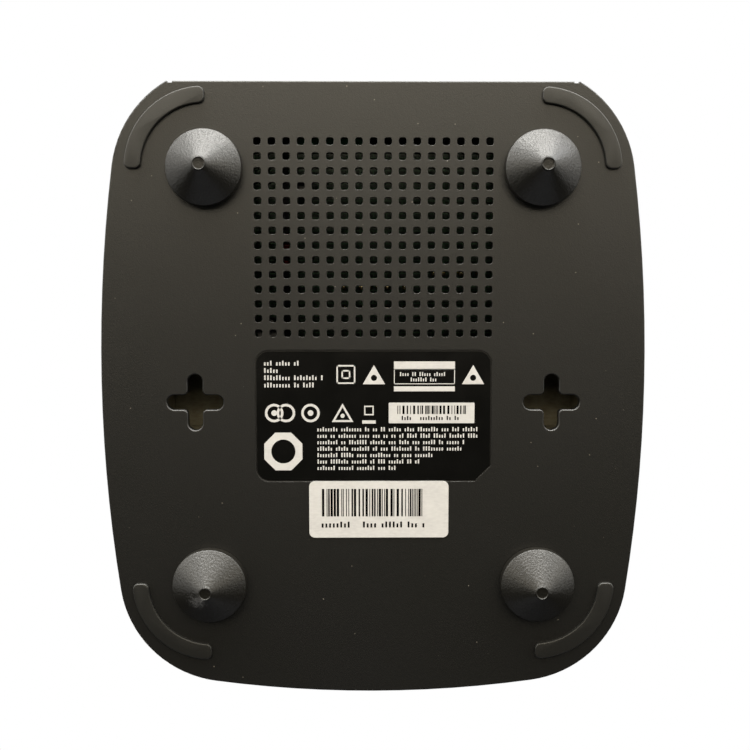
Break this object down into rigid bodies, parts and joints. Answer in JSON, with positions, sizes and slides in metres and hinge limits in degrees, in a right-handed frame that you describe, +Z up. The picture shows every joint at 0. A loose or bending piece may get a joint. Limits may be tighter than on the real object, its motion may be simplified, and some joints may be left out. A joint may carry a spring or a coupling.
{
  "type": "network streaming amplifier",
  "caption": "Low squircle desktop network audio box on cone feet, vented screwed base with wall keyholes and labels, recessed rear connector bay, front key.",
  "frame": {"origin": "centre of the case's plan, at the level of the feet's tips", "axes": "+Z up, -Y front with the standby key, +Y rear with the connector bay, +X to the right when looking at the front's back from the front side (front view: +X right)"},
  "size_m": [0.1522, 0.1718, 0.046],
  "materials": {
    "case_black": "fine moulded texture, satin-matte",
    "panel_black": "matte",
    "foot_grey": "smooth satin",
    "pad_rubber": "soft matte",
    "adhesive": "tacky foam",
    "screw_steel": "black oxide",
    "label_black": "printed polyester, satin",
    "label_white": "printed paper, matte",
    "board_green": "solder mask",
    "solder": "bright solder",
    "shield_tin": "tinned steel",
    "chip_black": "moulded epoxy",
    "thermal_grey": "silicone",
    "sink_aluminium": "extruded, plain",
    "ferrite": "sintered, matte",
    "can_blue": "shrink sleeve",
    "tape_yellow": "polyester tape",
    "fuse_glass": "glazed tube",
    "wire_red": "insulated wire",
    "socket_black": "smooth moulded",
    "pin_brass": "plated",
    "header_green": "smooth moulded",
    "nickel": "nickel plated",
    "insert_white": "smooth moulded",
    "insert_red": "smooth moulded",
    "insert_dark": "smooth moulded",
    "shutter_grey": "smooth moulded",
    "gilt": "gold flash",
    "lamp_amber": "tinted window",
    "button_black": "smooth satin",
    "light_pipe": "frosted clear",
    "ribbon_white": "laminated flat cable",
    "cap_brown": "pressed fibre board",
    "aerial_board": "solder mask",
    "coax_grey": "jacket"
  },
  "bodies": {
    "case": {"base_cover": "case_black", "top_shell": "case_black", "rear_panel": "panel_black", "foot_front_left": "foot_grey", "foot_front_right": "foot_grey", "foot_rear_left": "foot_grey", "foot_rear_right": "foot_grey", "corner_pad_front_left": "pad_rubber", "corner_pad_front_right": "pad_rubber", "corner_pad_rear_left": "pad_rubber", "corner_pad_rear_right": "pad_rubber", "foot_adhesive_discs": "adhesive", "case_screws": "screw_steel", "board_screws": "screw_steel", "rating_label": "label_black", "serial_label": "label_white", "batch_label": "label_white", "main_board": "board_green", "power_board": "board_green", "button_board": "board_green", "front_board": "board_green", "solder_joints": "solder", "wifi_module": "shield_tin", "network_jack": "shield_tin", "amp_chip": "chip_black", "rear_switches": "chip_black", "front_switch": "chip_black", "thermal_pad": "thermal_grey", "heatsink": "sink_aluminium", "output_inductors": "ferrite", "output_capacitors": "can_blue", "bulk_capacitor": "can_blue", "transformer": "tape_yellow", "mains_fuse": "fuse_glass", "link_wires": "wire_red", "mains_inlet": "socket_black", "phono_blocks": "socket_black", "optical_socket": "socket_black", "inlet_pins": "pin_brass", "speaker_pins": "pin_brass", "speaker_header": "header_green", "phono_shells": "nickel", "phono_inserts_white": "insert_white", "phono_inserts_red": "insert_red", "phono_inserts_dark": "insert_dark", "network_contacts": "gilt", "network_lamps": "lamp_amber", "status_light_pipe": "light_pipe", "status_lamp": "light_pipe", "front_ribbon": "ribbon_white", "keyhole_cap_left": "cap_brown", "keyhole_cap_right": "cap_brown", "aerial_left": "aerial_board", "aerial_right": "aerial_board", "aerial_lead_left": "coax_grey", "aerial_lead_right": "coax_grey"},
    "standby_button_body": {"standby_button": "button_black"},
    "pair_button_body": {"pair_button": "button_black"},
    "reset_plunger_body": {"reset_plunger": "button_black"},
    "optical_shutter_body": {"optical_shutter": "shutter_grey"}
  },
  "joints": [
    {"name": "standby_press", "type": "slide", "parent": "case", "child": "standby_button_body", "axis": [0, 1, 0], "range_m": [0, 0.0006], "stiffness_N_per_m": 2000},
    {"name": "pair_press", "type": "slide", "parent": "case", "child": "pair_button_body", "axis": [0, -1, 0], "range_m": [0, 0.0006], "stiffness_N_per_m": 1500},
    {"name": "reset_press", "type": "slide", "parent": "case", "child": "reset_plunger_body", "axis": [0, -1, 0], "range_m": [0, 0.0006], "stiffness_N_per_m": 1500},
    {"name": "shutter_swing", "type": "hinge", "parent": "case", "child": "optical_shutter_body", "pos_m": [-0.026, 0.0744, 0.0277], "axis": [-1, 0, 0], "range_deg": [0, 80], "stiffness_Nm_per_rad": 0.0004}
  ]
}
